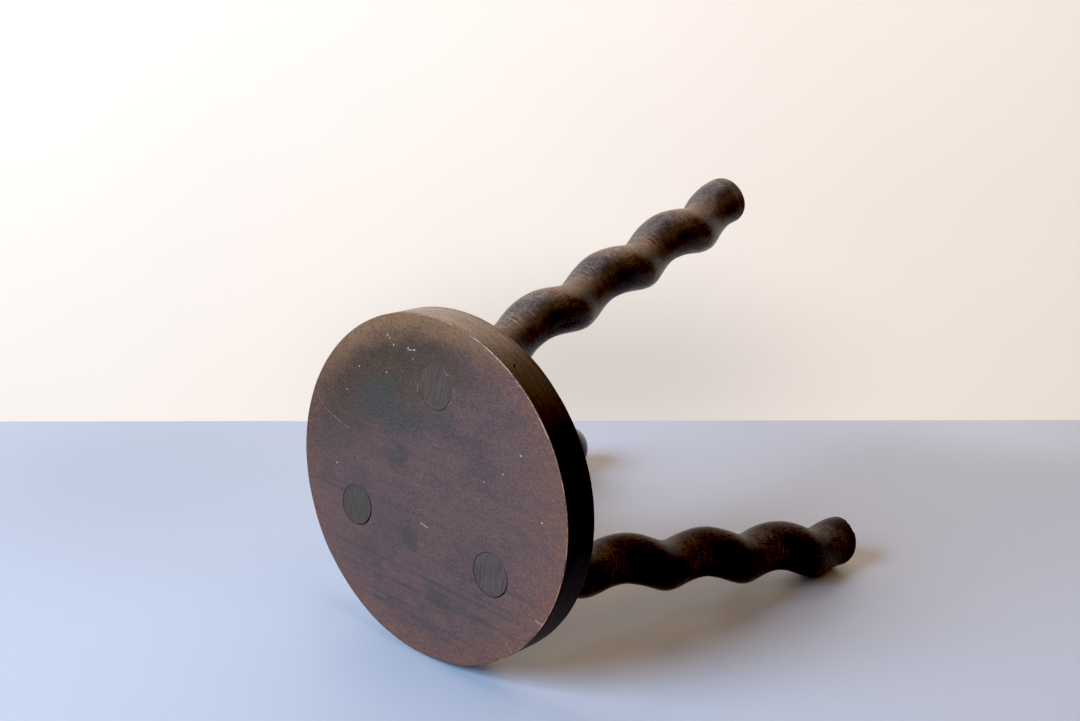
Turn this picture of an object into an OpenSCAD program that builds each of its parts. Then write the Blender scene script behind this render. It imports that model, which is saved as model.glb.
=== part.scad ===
// Three-legged milking stool: a plain round seat on three splayed barley-twist legs.
// The floor is z = 0 and the seat is centred over the origin. Leg A points along +Y.

/* [Seat] */
// Height of the seat's top face above the floor
stool_h = 328.5; // [260:0.5:450]
// Diameter of the seat along the grain
seat_d = 243.5; // [230:0.5:300]
// How much narrower the board has become across the grain
seat_shrink = 7; // [2:0.5:12]
// Thickness of the seat board
seat_t = 26.5; // [18:0.5:40]
// Radius worn on the seat's edges
seat_edge_r = 1.5; // [0.5:0.1:4]
// Bearing of the grain, from +X
grain_bearing = 3; // [-45:1:45]

/* [Leg places] */
// Radius of the circle on which the legs enter the seat's top face
leg_circle_r = 72.5; // [60:0.5:85]
// Bearing of leg A's hole, from +X
leg_a_bearing = 90; // [80:0.5:100]
// Bearing of leg B's hole
leg_b_bearing = 209; // [200:0.5:220]
// Bearing of leg C's hole
leg_c_bearing = 332; // [320:0.5:340]
// Angle of leg A from upright
leg_a_splay_angle = 15.5; // [8:0.5:22]
// Angle of leg B from upright
leg_b_splay_angle = 15.5; // [8:0.5:22]
// Angle of leg C from upright
leg_c_splay_angle = 16; // [8:0.5:22]
// How far leg A leans off its bearing, since the holes were bored by eye
leg_a_swing = 6; // [-12:0.5:12]
// How far leg B leans off its bearing
leg_b_swing = 9; // [-12:0.5:12]
// How far leg C leans off its bearing
leg_c_swing = 0.5; // [-12:0.5:12]

/* [Barley twist] */
// Length of one full turn of the twist
twist_pitch = 76; // [50:1:120]
// Diameter of the twisting strand at the seat's underside
strand_top_d = 33.8; // [32:0.1:40]
// Diameter of the twisting strand at the foot
strand_foot_d = 37.8; // [33:0.1:44]
// Distance from the leg's axis to the strand's centre at the seat's underside
throw_top = 3.5; // [1:0.1:5]
// Distance from the leg's axis to the strand's centre at the foot
throw_foot = 3.95; // [1:0.1:6]
// Where leg A's twist stands at the seat's top face
leg_a_twist_angle = 23.8; // [0:0.1:360]
// Where leg B's twist stands at the seat's top face
leg_b_twist_angle = 307; // [0:0.1:360]
// Where leg C's twist stands at the seat's top face
leg_c_twist_angle = 226.6; // [0:0.1:360]

/* [Neck, tenon and foot] */
// Length of the plain round neck that fades into the twist
neck_len = 26; // [15:1:40]
// Diameter of the neck where its shoulder meets the seat
neck_d = 34; // [33:0.5:42]
// Diameter of the round tenon
tenon_d = 29; // [22:0.5:31]
// Radial gap between a tenon and its hole
tenon_gap = 0.05; // [0.02:0.01:0.1]
// How far the planed end of a tenon lies below the seat's top face
tenon_shy = 0.05; // [0.02:0.01:0.5]
// Small slope round the sawn end of a foot
foot_arris = 1; // [0.5:0.1:3]
// Depth worn flat where the inner edge of a foot meets the floor
foot_wear = 0.5; // [0.2:0.1:1.5]

/* [Hidden] */

seat_wood = [0.36, 0.29, 0.27];
leg_wood = [0.27, 0.2, 0.16];

// Points on each worn edge of the seat, and round and along a leg
edge_steps = 6;
ring_sides = 36;
rings_per_turn = 16;

underside_z = stool_h - seat_t;
tenon_r = tenon_d / 2;
// A cutter or tenon blank runs this far past the surface that trims it
overrun = 5;

// The board keeps its round ends up to this angle from the grain. From there on each side is
// a flatter arc, whose centre has moved this far past the middle of the board.
round_end_angle = 22;
half_long = seat_d / 2;
half_short = (seat_d - seat_shrink) / 2;
side_shift = (half_long * half_long - half_short * half_short)
    / 2 / (half_short - half_long * sin(round_end_angle));
side_r = half_short + side_shift;

// 0 to 1 in a smooth curve, level at both ends
function fade(t) = t <= 0 ? 0 : t >= 1 ? 1 : t * t * (3 - 2 * t);

function mix(a, b, t) = a + (b - a) * t;

// Half profile of the board: square to the rim, with both edges worn round
function board_profile(r) = concat(
    [[0, 0]],
    [for (i = [0:edge_steps])
        let (a = 90 * i / edge_steps)
        [r - seat_edge_r * (1 - sin(a)), seat_edge_r * (1 - cos(a))]],
    [for (i = [0:edge_steps])
        let (a = 90 * i / edge_steps)
        [r - seat_edge_r * (1 - cos(a)), seat_t - seat_edge_r * (1 - sin(a))]],
    [[0, seat_t]]
);

module round_board(r) {
    rotate_extrude($fn = 96)
        polygon(board_profile(r));
}

// The board as it was sawn round, less what it has lost on both sides of the grain
module shrunk_board() {
    intersection() {
        round_board(half_long);
        translate([0, side_shift, 0])
            round_board(side_r);
        translate([0, -side_shift, 0])
            round_board(side_r);
    }
}

// Puts a leg's own axis, z, through its hole: z = 0 in the seat's top face, +z down and outward,
// and +x inward and down
module at_leg(bearing, splay, swing) {
    translate([leg_circle_r * cos(bearing), leg_circle_r * sin(bearing), stool_h])
        rotate([0, 0, bearing + swing])
            rotate([0, 180 - splay, 0])
                children();
}

// Distance along a leg's axis from the seat's top face to its underside
function shoulder_s(splay) = seat_t / cos(splay);

// Round bar on a leg's axis, long enough to pass both slanting faces of the board
module bar_through_seat(bearing, splay, swing, r) {
    past = overrun + r * tan(splay);
    at_leg(bearing, splay, swing)
        translate([0, 0, -past])
            cylinder(h = shoulder_s(splay) + 2 * past, r = r, $fn = 96);
}

module tenon_hole(bearing, splay, swing) {
    bar_through_seat(bearing, splay, swing, tenon_r + tenon_gap);
}

module seat() {
    color(seat_wood)
        difference() {
            translate([0, 0, underside_z])
                rotate([0, 0, grain_bearing])
                    shrunk_board();
            tenon_hole(leg_a_bearing, leg_a_splay_angle, leg_a_swing);
            tenon_hole(leg_b_bearing, leg_b_splay_angle, leg_b_swing);
            tenon_hole(leg_c_bearing, leg_c_splay_angle, leg_c_swing);
        }
}

// Bearing of the strand's centre about the axis, at s along it: a right-handed twist
function strand_turn(turn, s) = turn + 360 * s / twist_pitch;

// Length of the axis that brings the lowest point of the square foot to the worn depth below
// the floor. The strand's turn at the foot depends on the length, so it is found by repeating.
function leg_len(turn, splay, len, passes = 6) =
    passes == 0 ? len :
    leg_len(turn, splay,
        (stool_h + foot_wear - (strand_foot_d / 2 - foot_arris) * sin(splay)
            - throw_foot * cos(strand_turn(turn, len)) * sin(splay)) / cos(splay),
        passes - 1);

// One ring of the leg: a circle thrown off the axis. In the neck it is centred and lies along
// the seat's underside at its top end, and both fade out to the full twist, square to the axis.
function leg_ring(turn, splay, len, s, inset = 0) =
    let (start = shoulder_s(splay))
    let (along = (s - start) / (len - start))
    let (in_twist = fade((s - start) / neck_len))
    let (r = mix(neck_d / 2, mix(strand_top_d, strand_foot_d, along) / 2, in_twist) - inset)
    let (throw = mix(throw_top, throw_foot, along) * in_twist)
    let (a = strand_turn(turn, s))
    [for (i = [0:ring_sides - 1])
        let (b = 360 * i / ring_sides)
        let (x = throw * cos(a) + r * cos(b))
        let (y = throw * sin(a) + r * sin(b))
        [x, y, s - x * tan(splay) * (1 - in_twist)]];

// Skin over a stack of rings, with flat ends
module ring_stack(rings) {
    n = len(rings[0]);
    last = len(rings) - 1;
    skin = [for (j = [0:last - 1])
        for (i = [0:n - 1])
            let (k = (i + 1) % n)
            each [
                [j * n + i, (j + 1) * n + i, j * n + k],
                [j * n + k, (j + 1) * n + i, (j + 1) * n + k]
            ]];
    head_face = [[for (i = [0:n - 1]) i]];
    foot_face = [[for (i = [n - 1:-1:0]) last * n + i]];
    polyhedron(points = [for (ring = rings) each ring], faces = concat(head_face, skin, foot_face));
}

module twisted_leg(turn, splay) {
    start = shoulder_s(splay);
    end = leg_len(turn, splay, stool_h);
    full_end = end - foot_arris;
    steps = ceil((full_end - start) / twist_pitch * rings_per_turn);
    shaft = [for (j = [0:steps])
        leg_ring(turn, splay, end, mix(start, full_end, j / steps))];
    ring_stack(concat(shaft, [leg_ring(turn, splay, end, end, foot_arris)]));
}

// Round tenon, planed off with the seat's top face and rooted in the neck
module tenon(bearing, splay, swing) {
    intersection() {
        bar_through_seat(bearing, splay, swing, tenon_r);
        translate([-seat_d, -seat_d, 0])
            cube([2 * seat_d, 2 * seat_d, stool_h - tenon_shy]);
    }
}

module leg(bearing, splay, swing, turn) {
    color(leg_wood)
        union() {
            difference() {
                at_leg(bearing, splay, swing)
                    twisted_leg(turn, splay);
                // The floor, on which the feet have worn flat
                translate([-stool_h, -stool_h, -stool_h])
                    cube([2 * stool_h, 2 * stool_h, stool_h]);
            }
            tenon(bearing, splay, swing);
        }
}

seat();
leg(leg_a_bearing, leg_a_splay_angle, leg_a_swing, leg_a_twist_angle);  // leg_a
leg(leg_b_bearing, leg_b_splay_angle, leg_b_swing, leg_b_twist_angle);  // leg_b
leg(leg_c_bearing, leg_c_splay_angle, leg_c_swing, leg_c_twist_angle);  // leg_c
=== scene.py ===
import math
import random

import bmesh
import bpy
import numpy as np
from mathutils import Euler, Matrix, Vector, noise


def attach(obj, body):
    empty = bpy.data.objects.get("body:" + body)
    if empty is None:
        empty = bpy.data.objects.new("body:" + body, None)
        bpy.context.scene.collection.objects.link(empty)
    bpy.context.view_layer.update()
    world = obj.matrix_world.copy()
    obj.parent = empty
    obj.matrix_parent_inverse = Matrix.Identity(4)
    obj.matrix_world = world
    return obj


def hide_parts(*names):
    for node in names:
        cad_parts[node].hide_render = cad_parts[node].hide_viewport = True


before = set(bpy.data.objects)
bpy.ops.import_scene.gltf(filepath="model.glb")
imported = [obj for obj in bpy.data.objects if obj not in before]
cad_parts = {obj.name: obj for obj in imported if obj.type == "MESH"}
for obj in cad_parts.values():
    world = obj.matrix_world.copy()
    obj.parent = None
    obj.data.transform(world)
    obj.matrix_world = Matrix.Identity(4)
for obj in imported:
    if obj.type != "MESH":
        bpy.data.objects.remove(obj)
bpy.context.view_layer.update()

# The seat
# One board of a close-grained hardwood, about an inch thick, sawn round, sanded and waxed. It has shrunk across the
# grain, so it is slightly oval. The edges are worn and nicked, the face is scuffed and stained, and three slanting
# holes go right through it for the legs.
mm = 0.001
seat_top = 328.5 * mm
seat_thick = 26.5 * mm
seat_along = 243.5 / 2 * mm
seat_across = 236.5 / 2 * mm
grain_turn = math.radians(3)
leg_circle = 72.5 * mm
hole_r = 14.55 * mm
board_sides = 288
hole_sides = 112
edge_steps = 7
# How far in from the rim each flat face begins, and how much the rim wavers
edge_inset = 2.4 * mm
rim_ripple = 0.12 * mm
leg_stances = {
    "leg_a": {"bearing": 90, "splay": 15.5, "swing": 6, "twist": 23.8},
    "leg_b": {"bearing": 209, "splay": 15.5, "swing": 9, "twist": 307},
    "leg_c": {"bearing": 332, "splay": 16, "swing": 0.5, "twist": 226.6},
}


def leg_axes(stance):
    """A leg's own axes: z runs down the leg from the seat's top face, and x points inward."""
    bearing = math.radians(stance["bearing"])
    lean = math.radians(stance["bearing"] + stance["swing"])
    return (
        Matrix.Translation((leg_circle * math.cos(bearing), leg_circle * math.sin(bearing), seat_top))
        @ Matrix.Rotation(lean, 4, "Z")
        @ Matrix.Rotation(math.pi - math.radians(stance["splay"]), 4, "Y")
    )


def skin(name, rings):
    """A closed mesh over a stack of rings of points, flat across the first and the last."""
    shape = bmesh.new()
    loops = [[shape.verts.new(point) for point in ring] for ring in rings]
    for upper, lower in zip(loops, loops[1:]):
        for i in range(len(upper)):
            k = (i + 1) % len(upper)
            shape.faces.new((upper[i], lower[i], lower[k], upper[k]))
    shape.faces.new(loops[0])
    shape.faces.new(loops[-1])
    bmesh.ops.recalc_face_normals(shape, faces=shape.faces)
    mesh = bpy.data.meshes.new(name)
    shape.to_mesh(mesh)
    shape.free()
    piece = bpy.data.objects.new(name, mesh)
    bpy.context.scene.collection.objects.link(piece)
    return piece


def soften(piece, sharp_from):
    """Smooth shading, with a crisp line only where two faces meet at more than sharp_from degrees."""
    shape = bmesh.new()
    shape.from_mesh(piece.data)
    for face in shape.faces:
        face.smooth = True
    for edge in shape.edges:
        edge.smooth = edge.calc_face_angle(0) < math.radians(sharp_from)
    shape.to_mesh(piece.data)
    shape.free()


def cut_away(piece, cutters):
    """Takes the cutters' shapes out of a piece for good."""
    for cutter in cutters:
        cut = piece.modifiers.new("cut", "BOOLEAN")
        cut.operation = "DIFFERENCE"
        cut.solver = "EXACT"
        cut.object = cutter
    bpy.context.view_layer.update()
    depsgraph = bpy.context.evaluated_depsgraph_get()
    done = bpy.data.meshes.new_from_object(piece.evaluated_get(depsgraph))
    piece.modifiers.clear()
    piece.data = done
    for cutter in cutters:
        bpy.data.objects.remove(cutter)


def board_relief(x, y):
    """How far the seat's face stands off a true plane: it has moved a little with the years."""
    slow = noise.noise(Vector((x / 55, y / 34, 4.1)) / mm)
    quick = noise.noise(Vector((x / 19, y / 11, 8.7)) / mm)
    return (0.16 * slow + 0.05 * quick) * mm


def board_ring(inset, below):
    """Points round the board, inset from its rim and below its top face."""
    ring = []
    for i in range(board_sides):
        turn = math.tau * i / board_sides
        flat = Vector(((seat_along - inset) * math.cos(turn), (seat_across - inset) * math.sin(turn), 0))
        flat.rotate(Euler((0, 0, grain_turn)))
        ring.append(flat + Vector((0, 0, seat_top - below)))
    return ring


def worn_edge_r(turn, seed):
    """Radius of the seat's worn edge, which comes and goes round the rim."""
    around = Vector((math.cos(turn), math.sin(turn), seed))
    return (1.15 + 0.55 * noise.noise(around * 2.3) + 0.3 * noise.noise(around * 11)) * mm


# Rings of points on each face, 4 mm apart, and the rim's own line with one inside it
face_insets = [k * 4.0 * mm for k in range(28, 0, -1)]
rim_line, inner_line = board_ring(0, 0), board_ring(10 * mm, 0)
board_rings = [board_ring(inset, 0) for inset in face_insets]
board_rings += [board_ring(edge_inset, 0)]
for seed, top_edge in ((1.7, True), (6.2, False)):
    turned_rings = []
    for step in range(edge_steps + 1):
        bend = math.pi / 2 * step / edge_steps
        ring = []
        for i, (rim, inner) in enumerate(zip(rim_line, inner_line)):
            radius = worn_edge_r(math.tau * i / board_sides, seed)
            inward = (inner - rim).normalized()
            below = radius * (1 - math.cos(bend))
            point = rim + inward * radius * (1 - math.sin(bend))
            point.z -= below if top_edge else seat_thick - below
            ring.append(point)
        turned_rings.append(ring)
    if not top_edge:
        turned_rings.reverse()
    board_rings += turned_rings
    if top_edge:
        board_rings += [board_ring(0, seat_thick * share) for share in (0.2, 0.35, 0.5, 0.65, 0.8)]
board_rings += [board_ring(edge_inset, seat_thick)]
board_rings += [board_ring(inset, seat_thick) for inset in reversed(face_insets)]
seat = skin("seat_board", board_rings)
# The rim wavers a little, and the faces have moved
for vertex in seat.data.vertices:
    x, y, z = vertex.co
    out = Vector((x, y, 0))
    if out.length > seat_across - 4 * mm:
        vertex.co += out.normalized() * rim_ripple * noise.noise(Vector((x, y, z * 0.3)) / (13 * mm))
    vertex.co.z += board_relief(x, y) * (1 if z > seat_top - seat_thick / 2 else 0.5)


def hole_cutter(stance):
    """A bar on a leg's axis, a shade wider than the tenon, with both mouths of the hole worn a little wider."""
    axes = leg_axes(stance)
    splay = math.radians(stance["splay"])
    rings = []
    # Height above the seat's top face, and how much wider than the hole
    for height, wider in (
        (9 * mm, 1.4 * mm),
        (0.6 * mm, 0.3 * mm),
        (-0.25 * mm, 0),
        (0.3 * mm - seat_thick, 0),
        (-0.6 * mm - seat_thick, 0.6 * mm),
        (-9 * mm - seat_thick, 1.4 * mm),
    ):
        radius = hole_r + wider
        ring = []
        for i in range(hole_sides):
            turn = math.tau * i / hole_sides
            x, y = radius * math.cos(turn), radius * math.sin(turn)
            ring.append(axes @ Vector((x, y, -height / math.cos(splay) - x * math.tan(splay))))
        rings.append(ring)
    return skin("hole_cutter", rings)


def chip_cutter(places, unevenness=0.22):
    """Rough lumps, each (centre, half sizes, lean, turn about z), that take chips and dents out of an edge."""
    shape = bmesh.new()
    dice = random.Random(12)
    for centre, half, lean, turn in places:
        lump = bmesh.ops.create_icosphere(shape, subdivisions=2, radius=1)["verts"]
        for vertex in lump:
            vertex.co *= 1 + unevenness * (dice.random() - 0.5)
            vertex.co = Vector(a * b for a, b in zip(vertex.co, half))
            vertex.co.rotate(Euler((lean, 0, turn)))
            vertex.co += Vector(centre)
    mesh = bpy.data.meshes.new("chip_cutter")
    shape.to_mesh(mesh)
    shape.free()
    cutter = bpy.data.objects.new("chip_cutter", mesh)
    bpy.context.scene.collection.objects.link(cutter)
    return cutter


def on_rim(turn, below):
    """A point of the rim at an angle from +X."""
    turn -= grain_turn
    flat = Vector((seat_along * math.cos(turn), seat_across * math.sin(turn), seat_top - below))
    flat.rotate(Euler((0, 0, grain_turn)))
    return flat


# Bearings of the nicks in the upper edge, the first four as the photograph shows them, and in the lower edge
upper_nicks = [-44, -61, -7, 12, 23, 41, 77, 96, 131, 149, 186, 203, 238, 262, 281, 309, 338]
lower_nicks = [8, 66, 118, 171, 222, 290, 327]
edge_chips = []
dice = random.Random(5)
for below, turns in ((0.1 * mm, upper_nicks), (seat_thick - 0.1 * mm, lower_nicks)):
    for turn in turns:
        turn = math.radians(turn + dice.uniform(-1.5, 1.5))
        size = dice.uniform(0.45, 0.95) * mm
        edge_chips.append((on_rim(turn, below), (size * 0.9, size * 2.1, size * 0.8), 0, turn))
# A gouge slants across the rim
gouge_turn, gouge_slant = math.radians(61.75), math.radians(48)
rim_gouge = (on_rim(gouge_turn, 7.5 * mm), (1.5 * mm, 0.62 * mm, 2.6 * mm), gouge_slant, gouge_turn)
cut_away(seat, [hole_cutter(stance) for stance in leg_stances.values()] + [chip_cutter(edge_chips + [rim_gouge])])
soften(seat, sharp_from=32)


class Wire:
    """A value on its way through a finish. Sums and products of wires add the Math nodes that they stand for."""

    def __init__(self, socket):
        self.socket = socket

    def node(self, kind, settings, feeds, output=0):
        """Adds a node of any kind: first its settings, then what feeds its inputs."""
        tree = self.socket.id_data
        made = tree.nodes.new(kind)
        for name, value in settings.items():
            setattr(made, name, value)
        for name, value in feeds.items():
            if isinstance(value, Wire):
                tree.links.new(value.socket, made.inputs[name])
            else:
                made.inputs[name].default_value = value
        return Wire(made.outputs[output])

    def sum_of(self, operation, first, second=0.0):
        return self.node("ShaderNodeMath", {"operation": operation}, {0: first, 1: second})

    def __add__(self, other):
        return self.sum_of("ADD", self, other)

    __radd__ = __add__

    def __sub__(self, other):
        return self.sum_of("SUBTRACT", self, other)

    def __rsub__(self, other):
        return self.sum_of("SUBTRACT", other, self)

    def __mul__(self, other):
        return self.sum_of("MULTIPLY", self, other)

    __rmul__ = __mul__

    def __truediv__(self, other):
        return self.sum_of("DIVIDE", self, other)

    def __pow__(self, other):
        return self.sum_of("POWER", self, other)

    def clear(self):
        """The same value, held between 0 and 1."""
        return self.node("ShaderNodeClamp", {}, {0: self})

    def rise(self, low, high):
        """0 below low, 1 above high, and a smooth curve between."""
        settings = {"interpolation_type": "SMOOTHSTEP"}
        if low < high:
            return self.node("ShaderNodeMapRange", settings, {0: self, 1: low, 2: high})
        return self.node("ShaderNodeMapRange", settings, {0: self, 1: high, 2: low, 3: 1.0, 4: 0.0})

    def size(self):
        """The value without its sign."""
        return self.sum_of("ABSOLUTE", self)

    def most(self, other):
        return self.sum_of("MAXIMUM", self, other)

    def vector(self, operation, other, output=0):
        return self.node("ShaderNodeVectorMath", {"operation": operation}, {0: self, 1: other}, output)

    def stretched(self, x, y, z):
        """A place divided by a size along each axis."""
        return self.vector("DIVIDE", (x, y, z))

    def shifted(self, x, y, z):
        return self.vector("ADD", (x, y, z))

    def flattened(self):
        """A place without its height."""
        return self.vector("MULTIPLY", (1, 1, 0))

    def mapped(self, kind="POINT", **feeds):
        """A place moved, turned or scaled."""
        return self.node("ShaderNodeMapping", {"vector_type": kind}, {"Vector": self, **feeds})

    def in_mm(self):
        return self.mapped(Scale=(1000, 1000, 1000))

    def part(self, axis):
        return self.node("ShaderNodeSeparateXYZ", {}, {0: self}, axis)

    def mottle(self, detail=2.0, roughness=0.5, distortion=0.0):
        """Soft noise at a place, about 0.5 in the middle."""
        return self.node(
            "ShaderNodeTexNoise",
            {},
            {"Vector": self, "Scale": 1.0, "Detail": detail, "Roughness": roughness, "Distortion": distortion},
        )

    def length(self):
        return self.node("ShaderNodeVectorMath", {"operation": "LENGTH"}, {0: self}, "Value")

    def far_from(self, point):
        return self.vector("DISTANCE", point, "Value")

    def tinted(self, other, amount):
        """This colour turned towards another by an amount from 0 to 1."""
        other = other if isinstance(other, Wire) else (*other, 1)
        return self.node("ShaderNodeMix", {"data_type": "RGBA"}, {0: amount, 6: self, 7: other}, 2)

    def shaded(self, amount):
        """This colour made lighter or darker by a factor."""
        return self.node("ShaderNodeVectorMath", {"operation": "SCALE"}, {0: self, "Scale": amount})

    def bumped(self, strength, distance):
        """This height as a bumpy surface."""
        return self.node("ShaderNodeBump", {}, {"Strength": strength, "Distance": distance, "Height": self})


def new_finish(name):
    """A material, its main shader, and a wire that carries a place on the object."""
    finish = bpy.data.materials.new(name)
    finish.use_nodes = True
    place = finish.node_tree.nodes.new("ShaderNodeTexCoord").outputs["Object"]
    return finish, finish.node_tree.nodes["Principled BSDF"], Wire(place)


def lay_on(shader, name, wire):
    shader.id_data.links.new(wire.socket, shader.inputs[name])


def plain(wire, colour):
    """A colour as a wire, in the finish that another wire belongs to."""
    return wire.node("ShaderNodeMix", {"data_type": "RGBA"}, {0: 0.0, 6: (*colour, 1), 7: (*colour, 1)}, 2)


def facing_at(place):
    """Which way the surface faces, as a direction of the CAD frame."""
    return Wire(place.socket.node.outputs["Normal"])


# Grey green stains of the seat's face: x, y, reach in millimetres, and strength
seat_stains = [
    (-52, 46, 27, 1.0), (-44, 60, 17, 0.8), (-33, 43, 23, 0.95), (-12, 46, 19, 0.85), (7, 52, 17, 0.7),
    (-72, 38, 14, 0.45),
    (-26, 15, 14, 0.75), (-7, -38, 12, 0.75), (-53, -61, 15, 0.6), (-38, -70, 12, 0.5), (22, -70, 14, 0.55),
    (34, 22, 12, 0.4), (10, -84, 10, 0.4),
]
# Pale scratches: where each starts and ends in millimetres, and strength
seat_scratches = [
    (-112.0, 30.2, -106.3, 26.2, 0.2), (-103.3, 24.1, -96.0, 21.7, 0.25), (-93.5, 20.9, -84.7, 18.6, 0.28),
    (-82.7, 18.4, -76.3, 17.8, 0.18),
    (-1.2, -23.7, 5.3, -24.6, 0.9), (104.8, -48.2, 110.3, -48.3, 0.7), (84.0, -74.0, 89.5, -79.0, 0.3),
    (-7.2, 77.0, -2.7, 86.2, 0.2), (-3.9, 73.2, -2.6, 77.8, 0.3), (6.5, 86.3, 10.5, 84.0, 0.3),
    (16.0, 77.6, 17.6, 71.6, 0.2), (12.3, 64.3, 14.6, 66.6, 0.25), (-15.2, 64.6, -14.9, 70.4, 0.3),
    (-27.0, 89.7, -24.2, 90.5, 0.8), (-22.6, 91.1, -20.4, 91.7, 0.8),
]
# Bare white flecks: x, y and radius in millimetres
seat_flecks = [
    (-47.1, 94.1, 0.6), (-44.5, 92.7, 0.5), (-40.7, 89.3, 0.55), (-27.1, 91.0, 0.6), (-24.3, 90.6, 0.45),
    (-21.6, 91.4, 0.6), (-71.5, 64.6, 0.45), (-45.1, 68.8, 0.4), (-82.2, 44.5, 0.4), (-21.8, 85.5, 0.4),
    (77.5, 53.4, 0.6), (64.9, 36.3, 0.4), (50.2, 25.6, 0.35), (100.1, 17.4, 0.5), (-86.9, -12.0, 0.45),
]
# Colours of the face, the rim and the marks on them, with some painted light, shade and reflection among them
seat_colours = {
    "wood": (0.1110, 0.0464, 0.0288),
    "light streaks": (0.1421, 0.0584, 0.0336),
    "dark clouds": (0.0784, 0.0364, 0.0256),
    "warm side": (0.1539, 0.0608, 0.0320),
    "olive side and reflection": (0.0640, 0.0270, 0.0060),
    "dark bands": (0.0520, 0.0280, 0.0230),
    "rubbed": (0.1680, 0.0552, 0.0232),
    "rubbed top": (0.2420, 0.1050, 0.0330),
    "red flecks": (0.2205, 0.0664, 0.0256),
    "edge flecks": (0.2516, 0.0736, 0.0320),
    "dark flecks": (0.0450, 0.0261, 0.0194),
    "stains": (0.0530, 0.0340, 0.0168),
    "rim": (0.0950, 0.0420, 0.0150),
    "rim behind": (0.0440, 0.0200, 0.0100),
    "painted rim light": (0.420, 0.250, 0.140),
    "painted rim shade": (0.0048, 0.0022, 0.0014),
    "gouge": (0.0060, 0.0030, 0.0020),
    "specks": (0.300, 0.205, 0.170),
    "hairs": (0.331, 0.195, 0.125),
    "scuffs": (0.700, 0.420, 0.240),
    "edge": (0.188, 0.068, 0.030),
    "bare edge and highlight": (0.680, 0.410, 0.250),
}
# How much the waxed face and the bare rim shine
face_sheen, rim_sheen = 0.38, 0.09


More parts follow.
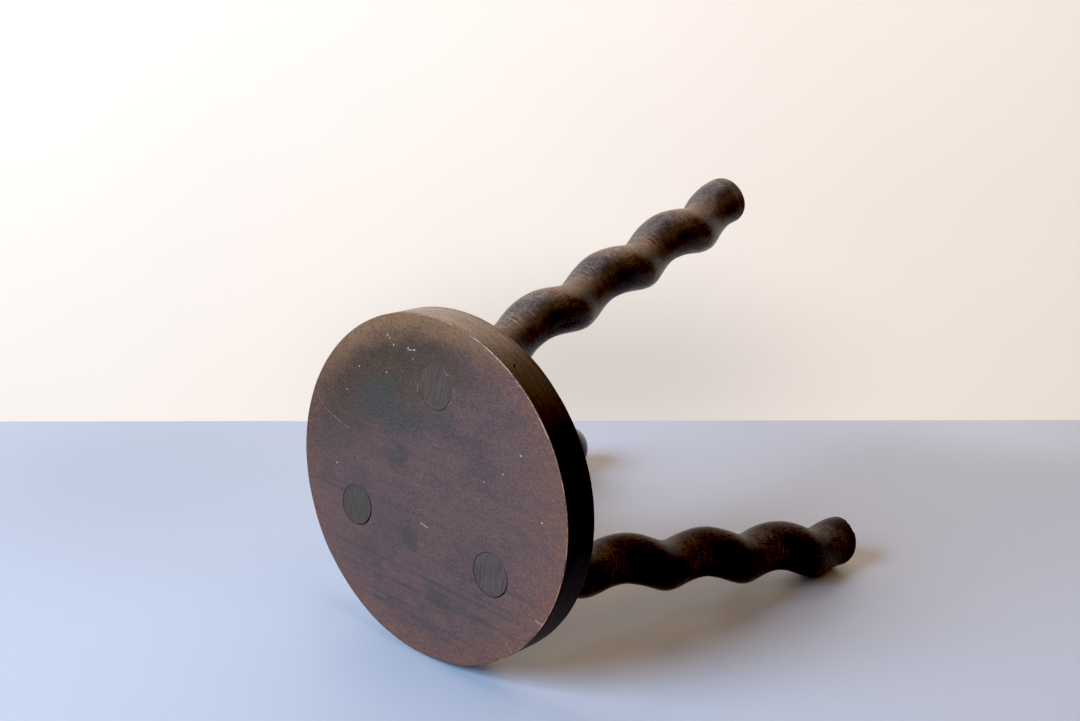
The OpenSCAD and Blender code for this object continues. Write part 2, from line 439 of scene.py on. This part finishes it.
def seat_finish():
    finish, shader, place = new_finish("seat_wood_old_wax")
    hues = seat_colours
    board = place.in_mm()
    along = board.mapped(Rotation=(0, 0, -grain_turn))
    x, y, z = board.part(0), board.part(1), board.part(2)
    top = seat_top / mm
    mean_reach = 120  # the seat's mean radius in millimetres
    # 0 in the middle of the board and 1 at the rim
    out = along.flattened().stretched(seat_along / mm, seat_across / mm, 1).length()
    on_face = z.rise(top - 1.3, top - 0.5)

    def towards(bearing):
        """1 at the rim on that bearing, 0 in the middle and -1 at the far rim."""
        return (x * math.cos(math.radians(bearing)) + y * math.sin(math.radians(bearing))) / mean_reach

    streaks = along.stretched(80, 6, 6).mottle(4, 0.6, 0.5)
    fibres = along.stretched(5.5, 0.7, 0.7).mottle(4, 0.7)
    pores = along.stretched(3.0, 0.5, 0.5).shifted(7, 3, 1).mottle(2, 0.6)
    clouds = along.stretched(34, 26, 26).mottle(5, 0.65, 0.3)
    patches = along.stretched(13, 9, 9).shifted(3, 9, 2).mottle(4, 0.65)
    specks = along.stretched(0.8, 0.8, 0.8).mottle(2, 0.7)

    colour = plain(place, hues["wood"])
    colour = colour.tinted(hues["light streaks"], streaks.rise(0.40, 0.66) * 0.45)
    colour = colour.tinted(hues["dark clouds"], clouds.rise(0.53, 0.36) * 0.6)
    colour = colour.tinted(hues["warm side"], (towards(4) + (clouds - 0.5)).rise(0.25, 1.0) * 0.6)
    # Olive towards the top left, partly the wood's colour and partly painted in for a warmer, darker reflection
    # there
    colour = colour.tinted(hues["olive side and reflection"], (towards(127) + (clouds - 0.5) * 0.7).rise(0.28, 0.72) * 0.9)
    # Dark bands run with the grain in the half of the board nearest to the viewer
    bands = along.stretched(130, 6, 6).shifted(40, 0, 0).mottle(3, 0.6, 0.3)
    colour = colour.tinted(hues["dark bands"], bands.rise(0.50, 0.68) * towards(-95).rise(-0.4, 0.4) * 0.55)
    # The rim has been rubbed redder and lighter, most of all at the top
    rubbed = (out + (patches - 0.5) * 0.12).rise(0.80, 1.0) * (1 - 0.5 * towards(200).rise(0.4, 0.9))
    colour = colour.tinted(hues["rubbed"], rubbed * (0.35 + 0.4 * patches.rise(0.4, 0.6)))
    colour = colour.tinted(hues["rubbed top"], rubbed * towards(110).rise(0.54, 0.94) * 0.92)
    # Red and black flecks of old stain
    flecks = along.stretched(3.2, 1.5, 1.5).mottle(3, 0.6)
    colour = colour.tinted(hues["red flecks"], flecks.rise(0.57, 0.70) * patches.rise(0.44, 0.60) * 0.6)
    colour = colour.tinted(hues["edge flecks"], flecks.rise(0.50, 0.64) * rubbed * 0.55)
    dark_flecks = along.stretched(4.5, 1.6, 1.6).shifted(11, 0, 5).mottle(3, 0.6)
    colour = colour.tinted(hues["dark flecks"], dark_flecks.rise(0.57, 0.72) * 0.45)
    dirt = None
    for stain_x, stain_y, reach, strength in seat_stains:
        near = board.far_from((stain_x, stain_y, top)) + (patches - 0.5) * 30 + (clouds - 0.5) * 16
        near = near.rise(reach, reach * 0.2) * strength
        dirt = near if dirt is None else dirt.most(near)
    colour = colour.tinted(hues["stains"], dirt * 0.82)

    # The rim shows the saw's and the file's marks. Its top, as the stool lies, is painted pale for the light and the
    # reflection it catches, and its right side is painted nearly black for the shade there.
    filed = board.stretched(60, 60, 0.7).mottle(3, 0.6)
    sawn = along.stretched(45, 9, 2.6).shifted(0, 0, 9).mottle(3, 0.65, 0.4)
    rim_colour = plain(place, hues["rim"])
    rim_colour = rim_colour.tinted(hues["rim behind"], towards(218).rise(-0.2, 0.6) * (0.5 + 0.5 * clouds))
    # Painted light and reflection along the rim's top, and painted shade down its right side
    rim_colour = rim_colour.tinted(hues["painted rim light"], towards(106).rise(0.66, 1.0) * (0.6 + 0.4 * patches))
    rim_colour = rim_colour.tinted(hues["painted rim shade"], towards(-12).rise(0.12, 0.78) * 0.98)
    rim_colour = rim_colour.shaded(0.25 + 1.5 * sawn)
    # Hands and the floor have left its lower edge darker
    rim_colour = rim_colour.shaded(1 - 0.45 * (z + 9 * (patches - 0.5)).rise(top - 20.5, top - 26))
    # Painted shade darkens the inside of the gouge
    gouge_shade = board.far_from(rim_gouge[0] / mm).rise(4.5, 3.5) * out.rise(0.998, 0.994)
    rim_colour = rim_colour.tinted(hues["gouge"], gouge_shade)
    colour = rim_colour.shaded(0.7 + 0.6 * filed).tinted(colour, on_face)

    colour = colour.shaded(0.50 + 1.0 * fibres)
    colour = colour.shaded(1 - 0.38 * pores.rise(0.56, 0.72))
    grit = board.stretched(1.1, 1.1, 1.1).shifted(3, 5, 7).mottle(2, 0.8)
    colour = colour.shaded(0.20 + 1.6 * grit)
    colour = colour.tinted(hues["specks"], specks.rise(0.60, 0.80) * 0.38)

    # Hair scratches from years of wiping, in two directions
    for turn, across in ((-52, 0.42), (24, 0.36)):
        wiped = board.mapped(Rotation=(0, 0, math.radians(turn)))
        hairs = wiped.stretched(17, across, 30).shifted(0, turn, 0).mottle(1, 0.5).rise(0.66, 0.80)
        colour = colour.tinted(hues["hairs"], hairs * patches.rise(0.42, 0.62) * on_face * 0.32)

    scuffs = None
    for start_x, start_y, end_x, end_y, strength in seat_scratches:
        run = Vector((end_x - start_x, end_y - start_y))
        reach = run.length
        run.normalize()
        down = (x - start_x) * run.x + (y - start_y) * run.y
        aside = (x - start_x) * -run.y + (y - start_y) * run.x
        miss = aside.size().most((down - reach / 2).size() - reach / 2) + (specks - 0.5) * 0.6
        line = miss.rise(0.42, 0.10) * strength
        scuffs = line if scuffs is None else scuffs.most(line)
    for fleck_x, fleck_y, radius in seat_flecks:
        miss = board.far_from((fleck_x, fleck_y, top)) + (specks - 0.5) * 0.9
        scuffs = scuffs.most(miss.rise(radius + 0.3, radius - 0.2))
    colour = colour.tinted(hues["scuffs"], scuffs * on_face * 0.7)

    # The edges are worn down to pale wood, most of all to the right; the pale line is partly a painted highlight
    tilt = facing_at(place).part(2).size()
    edge = tilt.rise(0.46, 0.64) * tilt.rise(0.92, 0.84) * out.rise(0.965, 0.98)
    bare = 0.12 + 0.88 * (fibres * 0.5 + patches * 0.5).rise(0.42, 0.58)
    edge_wear_and_highlight = plain(place, hues["edge"]).tinted(hues["bare edge and highlight"], towards(20).rise(-0.15, 0.45))
    colour = colour.tinted(edge_wear_and_highlight, edge * bare * (0.35 + 0.5 * z.rise(top - 4, top - 2)))
    lay_on(shader, "Base Color", colour)

    face_rough = 0.36 + 0.18 * clouds + 0.40 * (fibres - 0.5) + 0.30 * (grit - 0.5)
    face_rough = face_rough + 0.10 * specks.rise(0.5, 0.8) + 0.14 * dirt
    rim_rough = 0.34 + 0.10 * patches + 0.14 * (filed - 0.5)
    lay_on(shader, "Roughness", (face_rough * on_face + rim_rough * (1 - on_face)).clear())
    height = fibres * 0.6 - pores.rise(0.55, 0.7) * 0.7 - scuffs * 0.5 + grit * 0.5
    height = height + filed * (1 - on_face) * 0.6
    lay_on(shader, "Normal", height.bumped(0.5, 0.12 * mm))
    shader.inputs["Specular IOR Level"].default_value = face_sheen
    return finish


face_finish = seat_finish()
rim_finish = face_finish.copy()
rim_finish.name = "seat_rim_unwaxed"
rim_finish.node_tree.nodes["Principled BSDF"].inputs["Specular IOR Level"].default_value = rim_sheen
seat.data.materials.clear()
seat.data.materials.append(face_finish)
seat.data.materials.append(rim_finish)
for face in seat.data.polygons:
    face.material_index = 1 if face.normal.z < 0.97 else 0
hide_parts("seat")
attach(seat, "root")

# The legs
# Three legs of dark, open-grained wood, each turned round and carved by hand into a right-handed, single-strand
# barley twist that fades into a plain neck under the seat. Each ends in a round tenon, glued into its hole and
# planed off with the seat's face, and in a sawn foot, square to the leg and chipped with use.
twist_pitch = 76 * mm
strand_r_top = 33.8 / 2 * mm
strand_r_foot = 37.8 / 2 * mm
throw_top = 3.5 * mm
throw_foot = 3.95 * mm
neck_length = 26 * mm
neck_r = 17 * mm
tenon_r = 14.5 * mm
foot_round = 1.6 * mm
foot_wear = 0.5 * mm
foot_arris = 1 * mm
ring_step = 1.5 * mm
leg_sides = 120
foot_steps = 6
# Two rings of points that make a crisp corner stand this far apart
corner_step = 0.02 * mm
foot_inset = foot_round * 0.7
# Chips knocked out of the rim of each sawn foot: angle about the leg, width in degrees, depth
foot_chips = {
    "leg_a": [(35, 9, 0.9), (310, 7, 0.6)],
    "leg_b": [(150, 10, 1.0), (20, 6, 0.7)],
    "leg_c": [(80, 5.5, 3.2), (92, 4.5, 3.4), (102.5, 4.5, 2.8), (250, 8, 0.9)],
}
# Where each tenon has shrunk from its hole: the middle of the gap about +X, and its width
tenon_gaps = {"leg_a": (-48, 0.3), "leg_b": (-8, 0.85), "leg_c": (-18, 0.6)}
# How far each planed end lies below the face
tenon_sinks = {"leg_a": 0.03 * mm, "leg_b": 0.16 * mm, "leg_c": 0.16 * mm}


def fade(t):
    t = min(max(t, 0), 1)
    return t * t * (3 - 2 * t)


def between(a, b, t):
    return a + (b - a) * t


def leg_length(stance):
    """Length of the axis that brings the lowest point of the square foot just below the floor, to be worn flat."""
    splay = math.radians(stance["splay"])
    length = seat_top
    # The turn at the foot depends on the length, so it is found by repeating
    for _ in range(6):
        turn = math.radians(stance["twist"]) + math.tau * length / twist_pitch
        reach = strand_r_foot - foot_arris + throw_foot * math.cos(turn)
        length = (seat_top + foot_wear - reach * math.sin(splay)) / math.cos(splay)
    return length


def leg_rings(name, stance):
    axes = leg_axes(stance)
    turn_of_leg = math.radians(stance["bearing"] + stance["swing"])
    slope = math.tan(math.radians(stance["splay"]))
    shoulder = seat_thick / math.cos(math.radians(stance["splay"]))
    length = leg_length(stance)
    seed = 10.0 * sorted(leg_stances).index(name)
    gap_turn, gap_width = tenon_gaps[name]
    sink = tenon_sinks[name]

    def ring(s, radius_at, throw=0.0, level=1.0, drop_at=None):
        """A ring of the leg: level is 1 where it lies along the seat and 0 where it is square to the leg."""
        twist = math.radians(stance["twist"]) + math.tau * s / twist_pitch
        points = []
        for i in range(leg_sides):
            turn = math.tau * i / leg_sides
            radius = radius_at(turn)
            x = throw * math.cos(twist) + radius * math.cos(turn)
            y = throw * math.sin(twist) + radius * math.sin(turn)
            drop = drop_at(turn) if drop_at else 0
            points.append(axes @ Vector((x, y, s + drop - x * slope * level)))
        return points

    def tenon_radius(turn):
        # Seen from above, the leg's own x axis points back along its bearing
        world = math.pi + turn_of_leg - turn
        miss = math.cos((world - math.radians(gap_turn) + math.pi) % math.tau - math.pi)
        return tenon_r - (0.75 * sink + gap_width * mm * max(0, miss) ** 1.5)

    rings = []
    for share in (0.03, 0.2, 0.4, 0.6, 0.78, 0.9, 0.965):
        rings.append(ring(sink, lambda turn: tenon_radius(turn) * share))
    rings.append(ring(sink + corner_step, lambda turn: tenon_radius(turn) - 0.5 * sink))
    rings.append(ring(2 * sink, tenon_radius))
    for share in (0.15, 0.4, 0.7, 0.98):
        rings.append(ring(shoulder * share, tenon_radius))
    rings.append(ring(shoulder + corner_step, lambda turn: tenon_r + 0.1 * mm))
    rings.append(ring(shoulder + corner_step, lambda turn: neck_r - 0.7 * mm))
    rings.append(ring(shoulder + 0.2 * mm, lambda turn: neck_r - 0.15 * mm))

    def strand_at(s):
        along = (s - shoulder) / (length - shoulder)
        in_twist = fade((s - shoulder) / neck_length)
        by_hand = 0.22 * mm * noise.noise(Vector((s / (31 * mm), seed, 0)))
        radius = between(neck_r, between(strand_r_top, strand_r_foot, along), in_twist) + by_hand
        throw = between(throw_top, throw_foot, along) * in_twist
        return radius, throw, 1 - in_twist

    def carved(s, radius):
        """The knife and rasp leave the strand a little uneven."""
        def at(turn):
            where = Vector((math.cos(turn) * 1.3, math.sin(turn) * 1.3, s / (16 * mm)))
            fine = Vector((math.cos(turn) * 4, math.sin(turn) * 4, s / (5 * mm) + seed))
            where.z += seed
            return radius + (0.26 * noise.noise(where) + 0.07 * noise.noise(fine)) * mm
        return at

    steps = math.ceil((length - foot_round - shoulder - 0.5 * mm) / ring_step)
    for k in range(steps + 1):
        s = between(shoulder + 0.5 * mm, length - foot_round, k / steps)
        radius, throw, level = strand_at(s)
        rings.append(ring(s, carved(s, radius), throw, level))

    def chipped(turn):
        depth = 0.12 * (1 + noise.noise(Vector((math.cos(turn) * 5, math.sin(turn) * 5, seed))))
        for middle, width, deep in foot_chips[name]:
            miss = (math.degrees(turn) - middle + 180) % 360 - 180
            depth = max(depth, deep * max(0, 1 - (miss / width) ** 2))
        return depth * mm

    radius, throw, level = strand_at(length)
    for step in range(1, foot_steps + 1):
        bend = math.pi / 2 * step / foot_steps
        s = length - foot_round * (1 - math.sin(bend))
        edge = carved(s, radius)
        inset = foot_inset * (1 - math.cos(bend))
        rings.append(ring(
            s, lambda turn: edge(turn) - inset - chipped(turn) * 0.55 * math.sin(bend), throw, 0,
            lambda turn: -chipped(turn) * math.sin(bend),
        ))

    def sawn(turn, share):
        """How uneven the sawn end is, with the chips running out a little way inside its edge."""
        saw_mark = noise.noise(Vector((math.cos(turn) * 9 * share, math.sin(turn) * 9 * share, seed)))
        return 0.1 * mm * saw_mark - chipped(turn) * min(1, max(0, share - 0.6) * 4)

    for share in (0.86, 0.74, 0.6, 0.45, 0.3, 0.15, 0.03):
        rings.append(ring(
            length, lambda turn: (radius - foot_inset) * share, throw, 0, lambda turn: sawn(turn, share)))
    return rings


# The legs are the same wood. Tone is how light each leg is painted: the differences are painted shade, darkest on
# leg C, which lies in the seat's shadow. Smoke is how grey. Fade is how much painted light lies on the side that
# faces up as the stool lies, and bloom how much painted speckled sheen lies there. Scuff is how far up from the foot
# the wood is rubbed bare or blackened, in millimetres, and how strongly. The colours are those of the painted light
# on the upper side, the painted light in the hollows of the twist, the foot and the tenon's planed end.
leg_looks = {
    "leg_a": {
        "shade_tone": 1.0, "smoke": 0.0, "sheen": 0.25, "fade": 0.9, "sheen_paint": 0.75, "scuff": (11, 0.9), "cracks": 0.3,
        "top_light_colour": (0.310, 0.142, 0.066), "hollow": (0.0520, 0.0245, 0.0120), "foot": (0.150, 0.080, 0.050),
        "end": (0.100, 0.052, 0.028),
    },
    "leg_b": {
        "shade_tone": 0.8, "smoke": 0.2, "sheen": 0.18, "fade": 0.4, "sheen_paint": 0.30, "scuff": (11, 0.3), "cracks": 0.4,
        "top_light_colour": (0.280, 0.140, 0.072), "hollow": (0.0450, 0.0220, 0.0120), "foot": (0.080, 0.045, 0.028),
        "end": (0.082, 0.050, 0.030),
    },
    "leg_c": {
        "shade_tone": 0.7, "smoke": 0.5, "sheen": 0.06, "fade": 0.30, "sheen_paint": 0.05, "scuff": (32, 1.0), "cracks": 0.8,
        "top_light_colour": (0.205, 0.118, 0.076), "hollow": (0.0760, 0.0440, 0.0300), "foot": (0.022, 0.016, 0.013),
        "end": (0.108, 0.066, 0.046),
    },
}
# Colours that the three legs share
leg_colours = {
    "wood": (0.0180, 0.0074, 0.0034),
    "light clouds": (0.0560, 0.0235, 0.0100),
    "crest": (0.1300, 0.0560, 0.0240),
    "smoke": (0.0190, 0.0140, 0.0110),
    "painted_sheen": (0.1750, 0.1330, 0.1150),
    "specks": (0.221, 0.149, 0.100),
    "end specks": (0.331, 0.208, 0.136),
}


def leg_finish(name, stance):
    axes = leg_axes(stance)
    hues, looks = leg_colours, leg_looks[name]
    finish, shader, place = new_finish(name + "_dark_oak")
    own = place.mapped("TEXTURE", Location=axes.translation, Rotation=axes.to_euler(), Scale=(mm, mm, mm))
    seed = 7.0 * sorted(leg_stances).index(name)
    own_x, own_z = own.part(0), own.part(2)
    slope = math.tan(math.radians(stance["splay"]))
    length = leg_length(stance) / mm
    on_end = (own_z + own_x * slope).rise(0.7, 0.35)
    on_foot = own_z.rise(length - 1.2, length - 0.5)
    # How far the surface stands out from the strand's mean radius: 4 on the crest, -4 in the hollow
    mean_radius = own_z * 2 / length + 16.7
    swell = own.flattened().length() - mean_radius
    hollow = swell.rise(-0.5, -3.2) * own_z.rise(30, 55)
    crest = swell.rise(1.2, 3.6)

    clouds = own.stretched(20, 20, 46).shifted(seed, 0, 0).mottle(4, 0.6)
    fibres = own.stretched(0.7, 0.7, 9).shifted(seed, 5, 0).mottle(4, 0.7)
    pores = own.stretched(0.55, 0.55, 5).shifted(0, seed, 2).mottle(2, 0.6)
    rasp = own.stretched(9, 9, 0.75).shifted(0, 0, seed).mottle(2, 0.6, 0.3)
    specks = own.stretched(0.8, 0.8, 0.8).mottle(2, 0.7)

    colour = plain(place, hues["wood"])
    colour = colour.tinted(hues["light clouds"], clouds.rise(0.42, 0.68) * 0.8)
    colour = colour.tinted(hues["crest"], crest * fibres.rise(0.40, 0.66) * 0.5)
    # Each leg's tone is painted shade, darkest on leg C; smoke greys it
    colour = colour.shaded(looks["shade_tone"]).tinted(hues["smoke"], looks["smoke"])
    # Painted light on the side that faces up as the stool lies: its crests are painted lighter, with a painted
    # speckled sheen above them
    facing = facing_at(place)
    to_light = facing.part(1)
    # Painted light in the hollows of the twist, most where they face up as the stool lies
    colour = colour.tinted(looks["hollow"], hollow * to_light.rise(-0.5, 0.45) * 0.72)
    # Painted light on the crests that face up
    painted_top_light = (to_light + (clouds - 0.5) * 0.4).rise(0.62, 1.02) * (0.68 + 0.32 * crest)
    colour = colour.tinted(looks["top_light_colour"], painted_top_light * looks["fade"])
    # Painted sheen: a speckled grey haze on the flanks that face up and to the left
    painted_sheen = (to_light * 0.7 + facing.part(2) * 0.71 + (clouds - 0.5) * 0.4).rise(0.74, 0.96)
    dots = own.stretched(1.5, 1.5, 2.2).shifted(4, seed, 0).mottle(2, 0.75).rise(0.47, 0.62)
    colour = colour.tinted(hues["painted_sheen"], painted_sheen * (0.15 + 0.75 * dots) * looks["sheen_paint"])
    cracks = own.stretched(1.5, 1.5, 26).shifted(seed, 0, 3).mottle(2, 0.6, 0.6)
    colour = colour.shaded(1 - looks["cracks"] * cracks.rise(0.57, 0.64))
    scuff_reach, scuff_strength = looks["scuff"]
    scuffed = (own_z + 8 * (clouds - 0.5)).rise(length - scuff_reach, length - scuff_reach / 5)
    colour = colour.tinted(looks["foot"], scuffed * (0.2 + 0.6 * fibres) * scuff_strength)
    # Open grain, and the rasp's marks, deepest in the hollows
    colour = colour.shaded(0.10 + 1.8 * fibres)
    colour = colour.shaded(1 - 0.7 * pores.rise(0.56, 0.68))
    colour = colour.shaded((1 + (rasp - 0.5) * (2.4 + 2.2 * hollow)).most(0.1))
    colour = colour.tinted(hues["specks"], specks.rise(0.64, 0.82) * 0.22)
    # Grey green end grain, planed off with the seat
    stripes = place.in_mm().stretched(1.25, 15, 40).shifted(seed, 0, 0).mottle(3, 0.6, 0.4)
    end_colour = plain(place, looks["end"]).shaded(0.30 + 1.4 * stripes)
    end_colour = end_colour.shaded(1 - 0.35 * pores.rise(0.54, 0.68))
    end_colour = end_colour.tinted(hues["end specks"], specks.rise(0.64, 0.8) * 0.3)
    colour = colour.tinted(end_colour, on_end)
    # The sawn foot
    foot_colour = plain(place, looks["foot"]).shaded(0.4 + 1.2 * fibres)
    colour = colour.tinted(foot_colour, on_foot * 0.7)
    lay_on(shader, "Base Color", colour)

    rough = 0.22 + 0.08 * clouds + 0.4 * (fibres - 0.5) + 0.25 * pores.rise(0.55, 0.7)
    rough = rough + 0.20 * on_end + 0.28 * on_foot + 0.10 * hollow
    lay_on(shader, "Roughness", rough.clear())
    height = fibres * 0.6 - pores.rise(0.55, 0.7) * 0.8 + rasp * (0.5 + hollow * 0.7)
    lay_on(shader, "Normal", height.bumped(0.7, 0.25 * mm))
    shader.inputs["Specular IOR Level"].default_value = looks["sheen"]
    return finish


legs = []
for name, stance in leg_stances.items():
    leg = skin(name + "_twist", leg_rings(name, stance))
    for vertex in leg.data.vertices:
        vertex.co.z = max(vertex.co.z, 0)
        if vertex.co.z > seat_top - 2 * mm:
            vertex.co.z += board_relief(vertex.co.x, vertex.co.y)
    soften(leg, sharp_from=40)
    leg.data.materials.append(leg_finish(name, stance))
    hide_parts(name)
    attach(leg, "root")
    legs.append(leg)

# The camera
# It stands where the photograph's stood, a little above the lying stool, and looks down on it. Its place, its three
# directions and its focal length in pixels were fitted to the outlines of the seat and the legs.
to_right = Vector((0.74665, 0.11488, -0.65522))
to_top = Vector((-0.29422, 0.94042, -0.17039))
to_back = Vector((0.59661, 0.32000, 0.73597))
camera_place = Vector((0.5471, 0.3658, 0.9008))
focal_px = 1317.3
photo_wide, photo_high = 1080, 721
sensor = 36
lens = bpy.data.cameras.new("camera")
lens.sensor_width = sensor
lens.lens = focal_px / photo_wide * sensor
lens.clip_start = 0.05
lens.clip_end = 20
camera = bpy.data.objects.new("camera", lens)
camera.matrix_world = Matrix.Translation(camera_place) @ Matrix((to_right, to_top, to_back)).transposed().to_4x4()
bpy.context.scene.collection.objects.link(camera)
bpy.context.scene.camera = camera

# The table and the wall
# The stool lies on its side on a pale painted table, on the lower edge of its rim and on two of its feet, so the
# table's plane is the one that touches all three. A plain cream wall stands behind the table. Neither is part of it.

# How far the sheets run past the picture and towards the viewer, and the wall's place and size
table_past, table_deep = 0.4, 2.4
wall_behind, wall_past, wall_below, wall_above = 1.1, 2.0, 1.5, 2.4
# Pixels of the photograph: the ends of the table's far edge, and ovals of painted light and shade on the table and
# of painted shade on the wall, each as its middle, a point of its side and a point of its near or upper edge. The
# last number is how much brighter the table is painted there.
edge_left_px, edge_right_px = (0, 421.5), (photo_wide, 420.0)
table_light_patches = (
    ((90, 478), (400, 478), (90, 640), -0.13),
    ((1010, 425), (750, 425), (1010, 480), 0.22),
)
wall_shade_px = ((600, 425), (1000, 425), (600, 255))
# A first guess at the table's upward direction
table_up = Vector((-0.0646, 0.9967, 0.0492)).normalized()
clouds_of_points = [
    np.array([vertex.co[:] for vertex in piece.data.vertices]) for piece in (seat, legs[1], legs[2])
]
for _ in range(8):
    touching = [Vector(points[np.argmin(points @ np.array(table_up))]) for points in clouds_of_points]
    across_table = (touching[1] - touching[0]).cross(touching[2] - touching[0]).normalized()
    table_up = across_table if across_table.dot(table_up) > 0 else -across_table
table_level = touching[0].dot(table_up)
room_right = (to_right - table_up * to_right.dot(table_up)).normalized()
room_back = table_up.cross(room_right)
stool_middle = Vector((0, 0, seat_top / 2))
under_stool = stool_middle - table_up * (stool_middle.dot(table_up) - table_level)


def in_room(right, back, up):
    """A point by its distances to the right of, behind and above the spot under the stool's middle."""
    return under_stool + room_right * right + room_back * back + table_up * up


def seen_on(sheet, pixel):
    """Where the sight line through a pixel meets a sheet of the room, given as its upright direction and level."""
    upright, level = sheet
    px, py = pixel
    sight = to_right * (px - photo_wide / 2) - to_top * (py - photo_high / 2) - to_back * focal_px
    return camera_place + sight * ((level - camera_place.dot(upright)) / sight.dot(upright))


def soft_patch(place, sheet, pixels, run, rise):
    """1 in the middle of an oval on a sheet of the room and 0 at its edge. Run and rise are its two directions."""
    middle, side, tip = (seen_on(sheet, pixel) for pixel in pixels)
    from_middle = place.shifted(*-middle)
    along = from_middle.vector("DOT_PRODUCT", run, "Value") / (side - middle).length
    across = from_middle.vector("DOT_PRODUCT", rise, "Value") / (tip - middle).length
    return ((along * along + across * across) ** 0.5).rise(1, 0)


def one_sided(finish, shader):
    """Lets the back of a sheet of the room be looked through, so that the stool can be seen from every side."""
    tree = finish.node_tree
    side = tree.nodes.new("ShaderNodeNewGeometry")
    open_air = tree.nodes.new("ShaderNodeBsdfTransparent")
    choice = tree.nodes.new("ShaderNodeMixShader")
    tree.links.new(side.outputs["Backfacing"], choice.inputs["Fac"])
    tree.links.new(shader.outputs[0], choice.inputs[1])
    tree.links.new(open_air.outputs[0], choice.inputs[2])
    tree.links.new(choice.outputs[0], tree.nodes["Material Output"].inputs["Surface"])


def sheet_of_room(name, corners, finish):
    shape = bmesh.new()
    face = shape.faces.new([shape.verts.new(corner) for corner in corners])
    bmesh.ops.subdivide_edges(shape, edges=shape.edges[:], cuts=6, use_grid_fill=True)
    mesh = bpy.data.meshes.new(name)
    shape.to_mesh(mesh)
    shape.free()
    sheet = bpy.data.objects.new(name, mesh)
    bpy.context.scene.collection.objects.link(sheet)
    mesh.materials.append(finish)


table_sheet = (table_up, table_level)
far_left, far_right = seen_on(table_sheet, edge_left_px), seen_on(table_sheet, edge_right_px)
edge_run = (far_right - far_left).normalized()
far_left -= edge_run * table_past
far_right += edge_run * table_past
near_right = far_right - room_back * table_deep
near_left = far_left - room_back * table_deep

table_paint, shader, place = new_finish("table_paint")
wipes = place.stretched(0.22, 0.22, 0.22).mottle(4, 0.6)
fine_marks = place.stretched(0.004, 0.004, 0.004).mottle(3, 0.6)
paint = plain(place, (0.575, 0.520, 0.486)).shaded(0.97 + 0.06 * wipes).shaded(0.985 + 0.03 * fine_marks)
# Painted shade greys the table at the far left and painted light brightens it at the far right
for *pixels, brighter_by in table_light_patches:
    paint = paint.shaded(1 + brighter_by * soft_patch(place, table_sheet, pixels, room_right, room_back))
lay_on(shader, "Base Color", paint)
lay_on(shader, "Roughness", 0.42 + 0.12 * wipes)
lay_on(shader, "Normal", fine_marks.bumped(0.08, 0.2 * mm))
one_sided(table_paint, shader)
sheet_of_room("table", (near_left, near_right, far_right, far_left), table_paint)

wall_left = far_left + room_back * wall_behind - edge_run * wall_past
wall_right = far_right + room_back * wall_behind + edge_run * wall_past
wall_sheet = (room_back, wall_left.dot(room_back))

# The wall gives off a little light of its own, less in a soft shade behind the stool
wall_paint, shader, place = new_finish("wall_paint")
shade = soft_patch(place, wall_sheet, wall_shade_px, room_right, table_up)
wall_light = (1 - 0.24 * shade) * (0.98 + 0.04 * place.stretched(0.3, 0.3, 0.3).mottle())
lay_on(shader, "Base Color", plain(place, (0.820, 0.640, 0.450)).shaded(wall_light))
shader.inputs["Roughness"].default_value = 0.9
lay_on(shader, "Emission Color", plain(place, (1.0, 0.84, 0.72)).shaded(wall_light))
shader.inputs["Emission Strength"].default_value = 0.61
one_sided(wall_paint, shader)
foot, head = table_up * wall_below, table_up * wall_above
sheet_of_room("wall", (wall_left - foot, wall_right - foot, wall_right + head, wall_left + head), wall_paint)

# The light
# One big cool window stands to the left and in front, a dim warm lamp to the right, and a small cool skylight above.
# The wall is bright and the rest of the room nearly dark, so what turns away from the window goes nearly black.


def soft_light(name, bearing, height, distance, size, power, colour):
    """A square light that faces the stool: bearing from straight ahead, and height above the table, in degrees."""
    turn, rise = math.radians(bearing), math.radians(height)
    level = distance * math.cos(rise)
    place = in_room(level * math.sin(turn), level * math.cos(turn), distance * math.sin(rise))
    pane = bpy.data.lights.new(name, "AREA")
    pane.size = size
    pane.energy = power
    pane.color = colour
    light = bpy.data.objects.new(name, pane)
    light.location = place
    light.rotation_mode = "QUATERNION"
    aim = in_room(0, 0, 0.1)
    light.rotation_quaternion = (aim - place).to_track_quat("-Z", "Y")
    light.visible_camera = False
    bpy.context.scene.collection.objects.link(light)


soft_light("window", bearing=-122, height=32, distance=2.9, size=1.6, power=184, colour=(0.386, 0.609, 1.0))
soft_light("lamp", bearing=120, height=55, distance=2.0, size=1.6, power=9, colour=(1.0, 0.68, 0.38))
soft_light("skylight", bearing=-40, height=78, distance=2.0, size=0.8, power=5.5, colour=(0.86, 0.92, 1.0))

air = bpy.data.worlds.new("room_air")
air.use_nodes = True
air.node_tree.nodes["Background"].inputs["Color"].default_value = (1.0, 0.86, 0.74, 1)
air.node_tree.nodes["Background"].inputs["Strength"].default_value = 0.01
bpy.context.scene.world = air
# The photograph's blacks are pressed down a little
black_level = 0.011
display = bpy.context.scene.view_settings
display.view_transform = "Standard"
display.use_curve_mapping = True
display.curve_mapping.black_level = (black_level, black_level, black_level)
